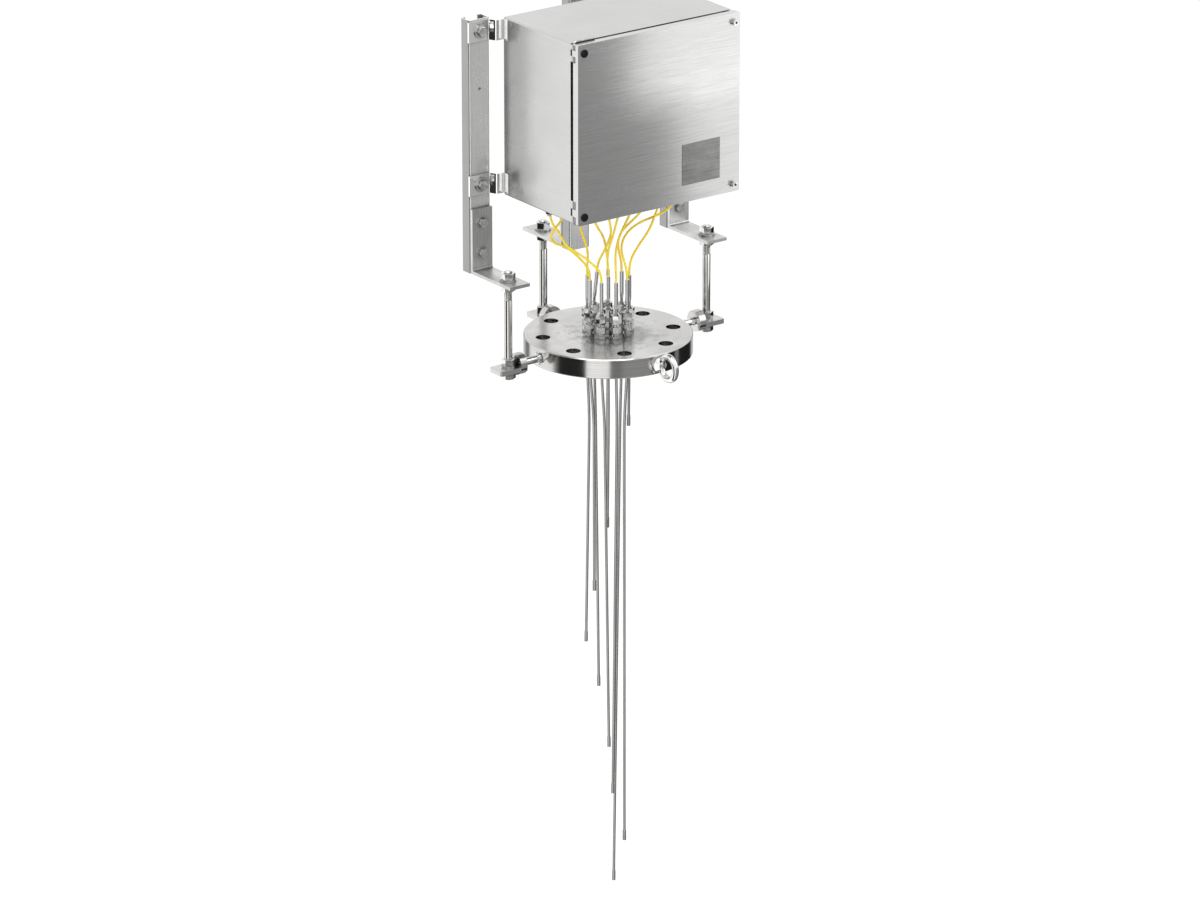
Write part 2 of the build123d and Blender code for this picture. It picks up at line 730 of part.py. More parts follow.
# Junction box body: folded and welded sheet with a return and a drip neck round the opening
inner_width = box_width - 2 * box_wall
inner_height = box_height - 2 * box_wall
neck_width = box_width - 2 * return_width
neck_height = box_height - 2 * return_width
cover_screw_places = ((cover_screw_x, cover_screw_high), (cover_screw_x, cover_screw_low))
cover_plug_places = ((-cover_screw_x, cover_screw_high), (-cover_screw_x, cover_screw_low))
gland_places = [((index - (gland_count - 1) / 2) * gland_pitch, gland_y) for index in range(gland_count)]
pin_bore = pin_dia + 2 * pin_clearance
with BuildPart() as enclosure_body:
    with BuildSketch(facing_front(box_back)):
        with Locations((0, box_middle)):
            RectangleRounded(box_width, box_height, box_corner)
    extrude(amount=box_depth)
    with BuildSketch(facing_front(box_back - box_wall)):
        with Locations((0, box_middle)):
            RectangleRounded(inner_width, inner_height, box_corner - box_wall)
    extrude(amount=box_depth - 2 * box_wall, mode=Mode.SUBTRACT)
    with BuildSketch(facing_front(box_front)):
        with Locations((0, box_middle)):
            Rectangle(neck_width, neck_height)
    extrude(amount=box_front - neck_front)
    with BuildSketch(facing_front(box_front + box_wall)):
        with Locations((0, box_middle)):
            Rectangle(neck_width - 2 * box_wall, neck_height - 2 * box_wall)
    extrude(amount=box_front + box_wall - neck_front, mode=Mode.SUBTRACT)
    with BuildSketch(facing_front(box_front)):
        with Locations(*cover_screw_places):
            Circle(box_boss_dia / 2)
    extrude(amount=box_boss_height)
    with BuildSketch(facing_front(box_front + box_wall)):
        with Locations(*cover_screw_places):
            Circle(cover_screw_dia / 2)
    extrude(amount=box_boss_height + box_wall, mode=Mode.SUBTRACT)
    with BuildSketch(Plane.XY.offset(box_bottom)):
        with Locations(*gland_places):
            Circle(gland_thread_dia / 2 + gland_hole_room)
        with Locations((earth_x, earth_y)):
            Circle(earth_dia / 2 + stud_clearance)
    extrude(amount=box_wall, mode=Mode.SUBTRACT)
    with BuildSketch(facing_front(box_back)):
        with Locations((0, strap_upper), (0, strap_lower)):
            Circle(bolt_dia / 2 + bolt_hole_room)
    extrude(amount=box_wall, mode=Mode.SUBTRACT)
    for low, cover_low, cover_high, high in (upper_hinge, lower_hinge):
        for start, end in ((low, cover_low - knuckle_gap), (cover_high + knuckle_gap, high)):
            with BuildSketch(Plane.XY.offset(start)):
                with Locations((hinge_x, hinge_y)):
                    Circle(knuckle_dia / 2)
                web_left = -box_width / 2
                with Locations((web_left + knuckle_web / 2, (hinge_y + box_front) / 2)):
                    Rectangle(knuckle_web, box_front - hinge_y)
                with Locations((hinge_x, hinge_y)):
                    Circle(pin_bore / 2, mode=Mode.SUBTRACT)
            extrude(amount=end - start)
save("enclosure_body", enclosure_body)

# Cover: a shallow folded tray with two hinge eyes, notched round the body's knuckles
cover_width = box_width + 2 * cover_overlap
cover_height = box_height + 2 * cover_overlap
cover_left = -cover_width / 2
with BuildPart() as cover:
    with BuildSketch(facing_front(cover_rim_back)):
        with Locations((0, box_middle)):
            RectangleRounded(cover_width, cover_height, box_corner)
    extrude(amount=cover_rim_back - cover_front)
    with BuildSketch(facing_front(cover_rim_back)):
        with Locations((0, box_middle)):
            RectangleRounded(
                cover_width - 2 * cover_thick, cover_height - 2 * cover_thick, box_corner - cover_thick
            )
    extrude(amount=cover_rim_back - cover_front - cover_thick, mode=Mode.SUBTRACT)
    with BuildSketch(facing_front(cover_front + cover_thick)):
        with Locations(*cover_screw_places):
            Circle(cover_screw_hole_dia / 2)
        with Locations(*cover_plug_places):
            Circle(plug_stem_dia / 2 + stud_clearance)
        with Locations((plate_left + rivet_inset, (plate_bottom + plate_top) / 2)):
            Circle(rivet_dia / 4)
        with Locations((plate_right - rivet_inset, (plate_bottom + plate_top) / 2)):
            Circle(rivet_dia / 4)
    extrude(amount=cover_thick, mode=Mode.SUBTRACT)
    for low, cover_low, cover_high, high in (upper_hinge, lower_hinge):
        for start, end in ((low - 2 * knuckle_gap, cover_low), (cover_high, high + 2 * knuckle_gap)):
            with BuildSketch(Plane.XY.offset(start)):
                with Locations((cover_left + cover_thick / 2, (cover_rim_back + hinge_notch_front) / 2)):
                    Rectangle(2 * cover_thick, cover_rim_back - hinge_notch_front)
            extrude(amount=end - start, mode=Mode.SUBTRACT)
        with BuildSketch(Plane.XY.offset(cover_low)):
            with Locations((hinge_x, hinge_y)):
                Circle(knuckle_dia / 2)
            with Locations(((cover_left + hinge_x) / 2, (hinge_y + cover_rim_back) / 2 - cover_thick / 2)):
                Rectangle(hinge_x - cover_left, hinge_y - cover_rim_back + cover_thick)
            with Locations((hinge_x, hinge_y)):
                Circle(pin_bore / 2, mode=Mode.SUBTRACT)
        extrude(amount=cover_high - cover_low)
save("cover", cover)

# Cover gasket, a foamed frame that the neck presses into
with BuildPart() as cover_gasket:
    with BuildSketch(facing_front(neck_front)):
        with Locations((0, box_middle)):
            middle_width = neck_width - box_wall
            middle_height = neck_height - box_wall
            RectangleRounded(middle_width + gasket_width, middle_height + gasket_width, gasket_width)
            Rectangle(middle_width - gasket_width, middle_height - gasket_width, mode=Mode.SUBTRACT)
    extrude(amount=neck_front - cover_front - cover_thick)
save("cover_gasket", cover_gasket)

# Hinge pins, the upper one with a bent grip along the cover's top edge
with BuildPart() as hinge_pin_upper:
    with BuildLine() as pin_path:
        FilletPolyline(
            (hinge_x, hinge_y, upper_hinge[0] - pin_overrun),
            (hinge_x, hinge_y, pin_grip_height),
            (hinge_x + pin_grip_length, hinge_y, pin_grip_height),
            radius=pin_bend_radius,
        )
    with BuildSketch(Plane(origin=pin_path.line @ 0, z_dir=pin_path.line % 0)):
        Circle(pin_dia / 2)
    sweep(path=pin_path.line)
save("hinge_pin_upper", hinge_pin_upper)

with BuildPart() as hinge_pin_lower:
    with BuildSketch(Plane((hinge_x, hinge_y, box_bottom - 2 * pin_overrun))):
        Circle(pin_dia / 2)
    extrude(amount=lower_hinge[3] + pin_overrun - box_bottom + 2 * pin_overrun)
save("hinge_pin_lower", hinge_pin_lower)


# Captive cover screws with socket heads
def cover_screw(height):
    head_seat = cover_front - cover_washer_thick
    tip = box_front - box_boss_height - cover_screw_gap
    with BuildPart() as screw:
        with BuildSketch(facing_front(head_seat)):
            with Locations((cover_screw_x, height)):
                Circle(cover_screw_head_dia / 2)
        extrude(amount=cover_screw_head_height)
        with BuildSketch(facing_front(tip)):
            with Locations((cover_screw_x, height)):
                Circle(cover_screw_dia / 2)
        extrude(amount=tip - head_seat)
        with BuildSketch(facing_front(head_seat - cover_screw_head_height)):
            with Locations((cover_screw_x, height)):
                RegularPolygon(cover_screw_socket / 2, 6, major_radius=False)
        extrude(amount=-cover_screw_head_height / 2, mode=Mode.SUBTRACT)
    return screw


save("cover_screw_upper", cover_screw(cover_screw_high))
save("cover_screw_lower", cover_screw(cover_screw_low))

with BuildPart() as screw_washers:
    for x, height in cover_screw_places:
        front_seat = Plane((x, cover_front, height), x_dir=(1, 0, 0), z_dir=(0, -1, 0))
        back_seat = Plane((x, cover_front + cover_thick, height), x_dir=(1, 0, 0), z_dir=(0, 1, 0))
        add_washer(front_seat, cover_washer_dia, cover_washer_thick, cover_screw_hole_dia)
        add_washer(back_seat, cover_screw_head_dia, cover_washer_thick, cover_screw_hole_dia)
save("screw_washers", screw_washers)

# Round plugs in the two cover holes on the hinge side
with BuildPart() as corner_plugs:
    for x, height in cover_plug_places:
        with BuildSketch(facing_front(cover_front)):
            with Locations((x, height)):
                Circle(plug_dia / 2)
        extrude(amount=plug_dome)
    crowns = corner_plugs.faces().filter_by(Axis.Y).sort_by(Axis.Y)[:2]
    fillet(crowns.edges(), plug_edge)
    with BuildSketch(facing_front(cover_front)):
        with Locations(*cover_plug_places):
            Circle(plug_stem_dia / 2)
    extrude(amount=-plug_stem_length)
save("corner_plugs", corner_plugs)

# Plain nameplate and its two rivets
plate_middle = (plate_bottom + plate_top) / 2
rivet_places = ((plate_left + rivet_inset, plate_middle), (plate_right - rivet_inset, plate_middle))
with BuildPart() as nameplate:
    with BuildSketch(facing_front(cover_front)):
        with Locations(((plate_left + plate_right) / 2, plate_middle)):
            Rectangle(plate_right - plate_left, plate_top - plate_bottom)
        with Locations(*rivet_places):
            Circle(rivet_dia / 4, mode=Mode.SUBTRACT)
    extrude(amount=plate_thick)
save("nameplate", nameplate)

with BuildPart() as nameplate_rivets:
    with BuildSketch(facing_front(cover_front - plate_thick)):
        with Locations(*rivet_places):
            Circle(rivet_dia / 2)
    extrude(amount=rivet_height)
    chamfer(nameplate_rivets.faces().sort_by(Axis.Y)[:2].edges(), rivet_height / 2)
    with BuildSketch(facing_front(cover_front + cover_thick)):
        with Locations(*rivet_places):
            Circle(rivet_dia / 4 - stud_clearance)
    extrude(amount=cover_thick + plate_thick)
save("nameplate_rivets", nameplate_rivets)

# Cable glands under the floor and their lock nuts inside
gland_bore = lead_dia + 2 * gland_bore_room
gland_profile = (
    (gland_bore / 2, -gland_length),
    (gland_dome_tip_dia / 2, -gland_length),
    (gland_dome_dia / 2, -gland_hex_height - 4.0),
    (gland_dome_dia / 2, -gland_hex_height),
    (gland_thread_dia / 2, -gland_hex_height),
    (gland_thread_dia / 2, box_wall + gland_locknut_height + 1.0),
    (gland_bore / 2, box_wall + gland_locknut_height + 1.0),
)
with BuildPart() as cable_glands:
    for x, y in gland_places:
        with BuildSketch(Plane((x, y, box_bottom), x_dir=(1, 0, 0), z_dir=(0, -1, 0))):
            with BuildLine():
                Polyline(*gland_profile, close=True)
            make_face()
        revolve(axis=Axis((x, y, 0), (0, 0, 1)))
        hexagon = Plane((x, y, box_bottom - gland_hex_height))
        add_nut(hexagon, gland_flats, gland_hex_height, gland_thread_dia, 30.0)
save("cable_glands", cable_glands)

with BuildPart() as gland_locknuts:
    for x, y in gland_places:
        add_nut(
            Plane((x, y, box_bottom + box_wall)),
            gland_locknut_flats,
            gland_locknut_height,
            gland_thread_dia + 2 * stud_clearance,
        )
save("gland_locknuts", gland_locknuts)

# Top-hat rail on two welded feet
with BuildPart() as terminal_rail:
    with BuildSketch(facing_right(-rail_length / 2)):
        with Locations((rail_front + rail_thick / 2, rail_height)):
            Rectangle(rail_thick, rail_width)
        with Locations((rail_front + rail_depth / 2, rail_height)):
            Rectangle(rail_depth, rail_hat_width)
        with Locations((rail_front + (rail_depth - rail_thick) / 2, rail_height)):
            Rectangle(rail_depth - rail_thick, rail_hat_width - 2 * rail_thick, mode=Mode.SUBTRACT)
    extrude(amount=rail_length)
    with BuildSketch(facing_front(box_back - box_wall)):
        for x in (-rail_foot_spacing, rail_foot_spacing):
            with Locations((x, rail_height)):
                Rectangle(rail_foot_size, rail_foot_size)
    extrude(amount=box_back - box_wall - rail_front - rail_depth)
save("terminal_rail", terminal_rail)

# Terminal blocks, hooked on the rail, one above each gland
terminal_bottom = rail_height - terminal_height / 2
terminal_depth = rail_front + terminal_hook - terminal_front
terminal_middle = (rail_front + terminal_hook + terminal_front) / 2
entry_dia = lead_dia + 2 * lead_end_gap
with BuildPart() as terminal_blocks:
    for x, _ in gland_places:
        with BuildSketch(facing_right(x - terminal_width / 2)):
            with Locations((terminal_middle, rail_height)):
                Rectangle(terminal_depth, terminal_height)
            with Locations((rail_front + rail_thick / 2, rail_height)):
                Rectangle(rail_thick + 2 * terminal_room, rail_width + 2 * terminal_room, mode=Mode.SUBTRACT)
            with Locations((rail_front + terminal_hook, rail_height)):
                Rectangle(2 * terminal_hook, rail_width - terminal_hook, mode=Mode.SUBTRACT)
        extrude(amount=terminal_width)
        entry = Plane((x, terminal_entry_y, terminal_bottom))
        add_disc(entry, entry_dia, terminal_entry_depth, Mode.SUBTRACT)
        for offset in (-terminal_screw_spacing / 2, terminal_screw_spacing / 2):
            pocket = Plane((x + offset, terminal_front, rail_height), x_dir=(1, 0, 0), z_dir=(0, 1, 0))
            add_disc(pocket, terminal_screw_dia + 4 * terminal_room, terminal_pocket_depth, Mode.SUBTRACT)
save("terminal_blocks", terminal_blocks)

with BuildPart() as terminal_screws:
    for x, _ in gland_places:
        for offset in (-terminal_screw_spacing / 2, terminal_screw_spacing / 2):
            seat_y = terminal_front + terminal_pocket_depth
            seat = Plane((x + offset, seat_y, rail_height), x_dir=(1, 0, 0), z_dir=(0, -1, 0))
            add_disc(seat, terminal_screw_dia, terminal_screw_height)
            with BuildSketch(seat.offset(terminal_screw_height)) as slot:
                Rectangle(terminal_screw_dia, 4 * terminal_room)
            extrude(slot.sketch, amount=-terminal_screw_height / 2, mode=Mode.SUBTRACT)
save("terminal_screws", terminal_screws)

# Earth stud through the floor, with a nut on each side
with BuildPart() as earth_stud:
    add_disc(Plane((earth_x, earth_y, box_bottom - earth_below)), earth_dia, earth_length)
    add_hexagon(Plane((earth_x, earth_y, box_bottom - earth_nut_height)), earth_nut_flats, earth_nut_height)
    add_hexagon(Plane((earth_x, earth_y, box_bottom + box_wall)), earth_nut_flats, earth_nut_height)
save("earth_stud", earth_stud)

# Compression fittings: body screwed into the flange, nut on top
fitting_bore = sheath_dia + sheath_clearance
with BuildPart() as fitting_bodies:
    for angle, *_ in sensors:
        place = ring_place(angle)
        with BuildSketch(Plane((place.X, place.Y, top), x_dir=(1, 0, 0), z_dir=(0, -1, 0))):
            with BuildLine():
                Polyline(
                    (fitting_bore / 2, fitting_clearance - port_depth),
                    (port_dia / 2 - fitting_clearance, fitting_clearance - port_depth),
                    (port_dia / 2 - fitting_clearance, 0),
                    (fitting_neck_dia / 2, 0),
                    (fitting_neck_dia / 2, fitting_neck_top),
                    (fitting_thread_dia / 2, fitting_body_top),
                    (fitting_thread_dia / 2, fitting_thread_top),
                    (fitting_bore / 2, fitting_thread_top),
                    close=True,
                )
            make_face()
        revolve(axis=Axis((place.X, place.Y, 0), (0, 0, 1)))
        base = Plane((place.X, place.Y, top))
        body_height = fitting_body_top - fitting_neck_top
        add_nut(base, fitting_base_flats, fitting_base_height, fitting_bore, angle or 0.0)
        add_nut(base.offset(fitting_neck_top), fitting_body_flats, body_height, fitting_bore, angle or 0.0)
save("fitting_bodies", fitting_bodies)

fitting_cone_top = fitting_nut_top + fitting_cone_height
nut_thread_bore = fitting_thread_dia + 2 * fitting_clearance
with BuildPart() as fitting_nuts:
    for angle, *_ in sensors:
        place = ring_place(angle)
        base = Plane((place.X, place.Y, top))
        nut_height = fitting_nut_top - fitting_nut_bottom
        add_hexagon(base.offset(fitting_nut_bottom), fitting_nut_flats, nut_height, angle or 0.0)
        with BuildSketch(Plane((place.X, place.Y, top), x_dir=(1, 0, 0), z_dir=(0, -1, 0))):
            with BuildLine():
                Polyline(
                    (0, fitting_nut_top),
                    (fitting_nut_flats / 2, fitting_nut_top),
                    (fitting_cone_dia / 2, fitting_cone_top),
                    (0, fitting_cone_top),
                    close=True,
                )
            make_face()
        revolve(axis=Axis((place.X, place.Y, 0), (0, 0, 1)))
        thread_room = fitting_thread_top + fitting_thread_room - fitting_nut_bottom
        add_disc(base.offset(fitting_nut_bottom), nut_thread_bore, thread_room, Mode.SUBTRACT)
        bore_height = fitting_cone_top - fitting_nut_bottom
        add_disc(base.offset(fitting_nut_bottom), fitting_bore, bore_height, Mode.SUBTRACT)
save("fitting_nuts", fitting_nuts)

# Transition sleeves between the stiff sheaths and the soft leads
sleeve_bore = sheath_dia + sheath_clearance / 2
with BuildPart() as transition_sleeves:
    for angle, _, _, _, _, lean in sensors:
        up = sleeve_direction(lean)
        frame = upright_plane(lean_point(angle), up)
        low = sleeve_bottom - lean_height
        high = sleeve_top - lean_height
        with BuildSketch(frame):
            with BuildLine():
                Polyline(
                    (sleeve_bore / 2, low),
                    (sleeve_lower_dia / 2, low),
                    (sleeve_dia / 2, low + sleeve_taper),
                    (sleeve_dia / 2, high),
                    (0, high),
                    (0, low + sleeve_grip + lead_end_gap),
                    (sleeve_bore / 2, low + sleeve_grip + lead_end_gap),
                    close=True,
                )
            make_face()
        revolve(axis=Axis(lean_point(angle), up))
save("transition_sleeves", transition_sleeves)


# Mineral insulated sheaths: straight through the fitting, a slight set below, a thicker tip
def sheath_points(angle, depth, across_bend, across_tip, along_share, lean):
    start = ring_place(angle)
    along_place = start.dot(along)
    tip = across * across_tip + along * (along_place * along_share)
    bend_share = (bend_end - bend_start) / (depth - bend_start)
    bend_along = along_place * (1 + (along_share - 1) * bend_share)
    bend = across * across_bend + along * bend_along
    points = [lean_point(angle) + sleeve_direction(lean) * (sleeve_bottom + sleeve_grip - lean_height)]
    if lean:
        points.append(lean_point(angle))
    points.append(start + Vector(0, 0, top - bend_start))
    if depth > 2 * bend_end:
        points.append(bend + Vector(0, 0, top - bend_end))
    points.append(tip + Vector(0, 0, top - depth))
    return points


for index, sensor in enumerate(sensors, start=1):
    points = sheath_points(*sensor)
    lowest = points[-1]
    rise = (points[-2] - lowest).normalized()
    with BuildPart() as sheath:
        length = add_tube(points, sheath_dia)
        with BuildSketch(upright_plane(lowest, rise)):
            with BuildLine():
                Polyline(
                    (0, 0),
                    (tip_dia / 2, 0),
                    (tip_dia / 2, tip_length),
                    (sheath_dia / 2, tip_length + tip_taper),
                    (0, tip_length + tip_taper),
                    close=True,
                )
            make_face()
        revolve(axis=Axis(lowest, rise))
    save(f"sheath_{index:02d}", sheath)
    print(f"sheath_{index:02d}", "length", round(length, 1), "solids", len(sheath.part.solids()))

# Leads: along the chosen points, straight up through the gland, and into the terminal above
lead_end = terminal_bottom + terminal_entry_depth - lead_end_gap
for index, (route, (gland_x, _)) in enumerate(zip(lead_routes, gland_places), start=1):
    points = [(x, y, top + height) for x, y, height in route]
    points.append((gland_x, gland_y, top + lead_gland_start))
    points.append((gland_x, gland_y, top + lead_gland_end))
    points.append((gland_x, terminal_entry_y, top + lead_riser_start))
    points.append((gland_x, terminal_entry_y, lead_end))
    with BuildPart() as lead:
        length = add_tube(points, lead_dia)
    save(f"lead_{index:02d}", lead)
    share = lead.part.volume / (length * pi * lead_dia**2 / 4)
    bends = " ".join(f"{radius:.0f}" for radius in corner_radii(points))
    print(f"lead_{index:02d}", "length", round(length, 1), "volume share", round(share, 4), "radii", bends)
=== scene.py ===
import json
import math

import bpy
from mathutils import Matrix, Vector


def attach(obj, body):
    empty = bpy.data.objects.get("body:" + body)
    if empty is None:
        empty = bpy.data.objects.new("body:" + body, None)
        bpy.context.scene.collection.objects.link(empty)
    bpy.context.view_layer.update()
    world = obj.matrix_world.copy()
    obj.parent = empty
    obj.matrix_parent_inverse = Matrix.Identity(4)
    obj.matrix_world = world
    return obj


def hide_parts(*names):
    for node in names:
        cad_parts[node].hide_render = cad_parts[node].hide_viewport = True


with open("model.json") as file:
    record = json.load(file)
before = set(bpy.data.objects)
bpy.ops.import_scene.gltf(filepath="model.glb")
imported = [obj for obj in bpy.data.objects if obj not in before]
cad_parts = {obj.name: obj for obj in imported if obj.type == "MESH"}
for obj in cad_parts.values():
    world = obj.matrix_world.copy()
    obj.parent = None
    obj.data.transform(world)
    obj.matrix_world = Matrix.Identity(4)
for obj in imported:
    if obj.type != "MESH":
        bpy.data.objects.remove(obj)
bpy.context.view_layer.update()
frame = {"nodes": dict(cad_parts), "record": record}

nodes = frame["nodes"]
record = frame["record"]
mm = 0.001
print("frame loaded:", len(nodes), "nodes")


# small helpers for node trees
def addNode(tree, kind, **settings):
    node = tree.nodes.new(kind)
    for key, value in settings.items():
        setattr(node, key, value)
    return node


def setOrLink(tree, socket, value):
    if isinstance(value, (int, float)):
        socket.default_value = value
    elif isinstance(value, tuple):
        socket.default_value = (*value, 1.0)
    else:
        tree.links.new(value, socket)


def mathNode(tree, operation, first, second=0.0):
    node = addNode(tree, "ShaderNodeMath", operation=operation)
    setOrLink(tree, node.inputs[0], first)
    setOrLink(tree, node.inputs[1], second)
    return node.outputs[0]


def mapRange(tree, value, fromLow, fromHigh, toLow, toHigh, smooth=False):
    node = addNode(tree, "ShaderNodeMapRange")
    node.interpolation_type = "SMOOTHSTEP" if smooth else "LINEAR"
    tree.links.new(value, node.inputs["Value"])
    node.inputs["From Min"].default_value = fromLow
    node.inputs["From Max"].default_value = fromHigh
    node.inputs["To Min"].default_value = toLow
    node.inputs["To Max"].default_value = toHigh
    return node.outputs["Result"]


def mixFloat(tree, share, low, high):
    node = addNode(tree, "ShaderNodeMix", data_type="FLOAT")
    tree.links.new(share, node.inputs["Factor"])
    setOrLink(tree, node.inputs[2], low)
    setOrLink(tree, node.inputs[3], high)
    return node.outputs[0]


def mixColour(tree, share, low, high):
    node = addNode(tree, "ShaderNodeMix", data_type="RGBA")
    tree.links.new(share, node.inputs["Factor"])
    setOrLink(tree, node.inputs[6], low)
    setOrLink(tree, node.inputs[7], high)
    return node.outputs[2]


def objectPlace(tree):
    return addNode(tree, "ShaderNodeTexCoord").outputs["Object"]


def splitAxes(tree, vector):
    node = addNode(tree, "ShaderNodeSeparateXYZ")
    tree.links.new(vector, node.inputs[0])
    return node.outputs


def noise(tree, vector, scale, detail=2.0, roughness=0.5, wander=0.0):
    node = addNode(tree, "ShaderNodeTexNoise")
    tree.links.new(vector, node.inputs["Vector"])
    setOrLink(tree, node.inputs["Scale"], scale)
    node.inputs["Detail"].default_value = detail
    node.inputs["Roughness"].default_value = roughness
    node.inputs["Distortion"].default_value = wander
    return node.outputs["Fac"]


def bumpNormal(tree, height, strength, depth, under=None):
    node = addNode(tree, "ShaderNodeBump")
    node.inputs["Strength"].default_value = strength
    node.inputs["Distance"].default_value = depth * mm
    tree.links.new(height, node.inputs["Height"])
    if under is not None:
        tree.links.new(under, node.inputs["Normal"])
    return node.outputs["Normal"]


def newGroup(name, inputs, outputs):
    group = bpy.data.node_groups.new(name, "ShaderNodeTree")
    for label, kind, value in inputs:
        socket = group.interface.new_socket(name=label, in_out="INPUT", socket_type=kind)
        socket.default_value = value
    for label in outputs:
        group.interface.new_socket(name=label, in_out="OUTPUT", socket_type="NodeSocketFloat")
    return group, addNode(group, "NodeGroupInput"), addNode(group, "NodeGroupOutput")


# brushed or drawn grain: long fine lines, set by how the coordinates are stretched
grainLook = dict(fine=1.0, broad=0.12, wander=0.2, low=0.3, high=0.7)


def grainGroup():
    group, entry, leave = newGroup(
        "brushedGrain", [("Stretch", "NodeSocketVector", (1, 1, 1))], ["Grain", "Bands"])
    stretch = addNode(group, "ShaderNodeVectorMath", operation="MULTIPLY")
    group.links.new(objectPlace(group), stretch.inputs[0])
    group.links.new(entry.outputs["Stretch"], stretch.inputs[1])
    fine = noise(group, stretch.outputs[0], grainLook["fine"], wander=grainLook["wander"])
    broad = noise(group, stretch.outputs[0], grainLook["broad"])
    for label, pattern in (("Grain", fine), ("Bands", broad)):
        spread = mapRange(group, pattern, grainLook["low"], grainLook["high"], 0.0, 1.0)
        group.links.new(spread, leave.inputs[label])
    return group


# lathe marks: fine rings round the flange's axis on faces, and round its rim
turnedLook = dict(fine=1.0, broad=0.08, low=0.3, high=0.7, wallBelow=0.3, faceAbove=0.7)


def turnedGroup():
    group, entry, leave = newGroup(
        "turnedGrain", [("Rings per metre", "NodeSocketFloat", 1500.0)], ["Grain", "Bands", "Wall"])
    normal = splitAxes(group, addNode(group, "ShaderNodeNewGeometry").outputs["Normal"])
    upright = mathNode(group, "ABSOLUTE", normal["Z"])
    wall = mapRange(group, upright, turnedLook["wallBelow"], turnedLook["faceAbove"], 1.0, 0.0)
    group.links.new(wall, leave.inputs["Wall"])
    place = splitAxes(group, objectPlace(group))
    squares = [mathNode(group, "POWER", place[axis], 2.0) for axis in ("X", "Y")]
    radius = mathNode(group, "SQRT", mathNode(group, "ADD", *squares))
    rings = entry.outputs["Rings per metre"]
    lines = addNode(group, "ShaderNodeCombineXYZ")
    group.links.new(mathNode(group, "MULTIPLY", radius, rings), lines.inputs["X"])
    group.links.new(mathNode(group, "MULTIPLY", place["Z"], rings), lines.inputs["Y"])
    for label, scale in (("Grain", turnedLook["fine"]), ("Bands", turnedLook["broad"])):
        pattern = noise(group, lines.outputs[0], scale)
        spread = mapRange(group, pattern, turnedLook["low"], turnedLook["high"], 0.0, 1.0)
        group.links.new(spread, leave.inputs[label])
    return group


# soft clouds: handling marks and uneven finish
cloudLook = dict(detail=5.0, roughness=0.6, low=0.35, high=0.65)


def marksGroup():
    group, entry, leave = newGroup("handlingMarks", [("Scale", "NodeSocketFloat", 12.0)], ["Clouds"])
    clouds = noise(group, objectPlace(group), entry.outputs["Scale"], cloudLook["detail"],
                   cloudLook["roughness"])
    spread = mapRange(group, clouds, cloudLook["low"], cloudLook["high"], 0.0, 1.0, smooth=True)
    group.links.new(spread, leave.inputs["Clouds"])
    return group


# painted shade: a dark patch with a ragged edge round one point
paintedShadeSpotLook = dict(scale=60.0, detail=3.0, low=0.3, high=0.7, nearest=0.7, farthest=1.5, full=0.3, gone=1.1,
                 strongest=0.75)


def paintedShadeSpotGroup():
    group, entry, leave = newGroup(
        "paintedShadeSpot", [("Centre", "NodeSocketVector", (0, 0, 0)), ("Reach", "NodeSocketFloat", 0.03)], ["Share"])
    away = addNode(group, "ShaderNodeVectorMath", operation="DISTANCE")
    group.links.new(objectPlace(group), away.inputs[0])
    group.links.new(entry.outputs["Centre"], away.inputs[1])
    distance = mathNode(group, "DIVIDE", away.outputs["Value"], entry.outputs["Reach"])
    ragged = noise(group, objectPlace(group), paintedShadeSpotLook["scale"], paintedShadeSpotLook["detail"])
    edge = mapRange(group, ragged, paintedShadeSpotLook["low"], paintedShadeSpotLook["high"], paintedShadeSpotLook["nearest"],
                    paintedShadeSpotLook["farthest"])
    share = mapRange(group, mathNode(group, "MULTIPLY", distance, edge), paintedShadeSpotLook["full"],
                     paintedShadeSpotLook["gone"], paintedShadeSpotLook["strongest"], 0.0, smooth=True)
    group.links.new(share, leave.inputs["Share"])
    return group


# painted shade: darker where pieces meet, as round a nut or a bolt head, standing in for the shadow that
# falls there
paintedContactShadeLook = dict(rays=8, closed=0.25, open=0.95, strongest=0.8, colour=(0.05, 0.05, 0.05))


def paintedContactShadeGroup():
    group, entry, leave = newGroup("painted_contact_shade", [("Reach", "NodeSocketFloat", 0.006)], ["Share"])
    hidden = addNode(group, "ShaderNodeAmbientOcclusion", samples=paintedContactShadeLook["rays"])
    group.links.new(entry.outputs["Reach"], hidden.inputs["Distance"])
    share = mapRange(group, hidden.outputs["AO"], paintedContactShadeLook["closed"], paintedContactShadeLook["open"],
                     paintedContactShadeLook["strongest"], 0.0)
    group.links.new(share, leave.inputs["Share"])
    return group


# painted shade: faces that look left or right get a darker colour, for the shade on the strut's sides
paintedSideShadeLook = dict(strength=0.8, low=0.6, high=0.9)


def paintedSideShadeGroup():
    group, entry, leave = newGroup(
        "painted_side_shade_mask", [("Strength", "NodeSocketFloat", paintedSideShadeLook["strength"])], ["Share"])
    normal = splitAxes(group, addNode(group, "ShaderNodeNewGeometry").outputs["Normal"])
    sideways = mathNode(group, "ABSOLUTE", normal["X"])
    mask = mapRange(group, sideways, paintedSideShadeLook["low"], paintedSideShadeLook["high"], 0.0, 1.0)
    group.links.new(mathNode(group, "MULTIPLY", mask, entry.outputs["Strength"]), leave.inputs["Share"])
    return group


groups = dict(grain=grainGroup(), turned=turnedGroup(), marks=marksGroup(), paintedShadeSpot=paintedShadeSpotGroup(),
              paintedContactShade=paintedContactShadeGroup(), paintedSideShade=paintedSideShadeGroup())
print("shader groups:", len(groups))


def placeGroup(tree, key, **values):
    node = addNode(tree, "ShaderNodeGroup")
    node.node_tree = groups[key]
    for label, value in values.items():
        node.inputs[label.replace("_", " ")].default_value = value
    return node


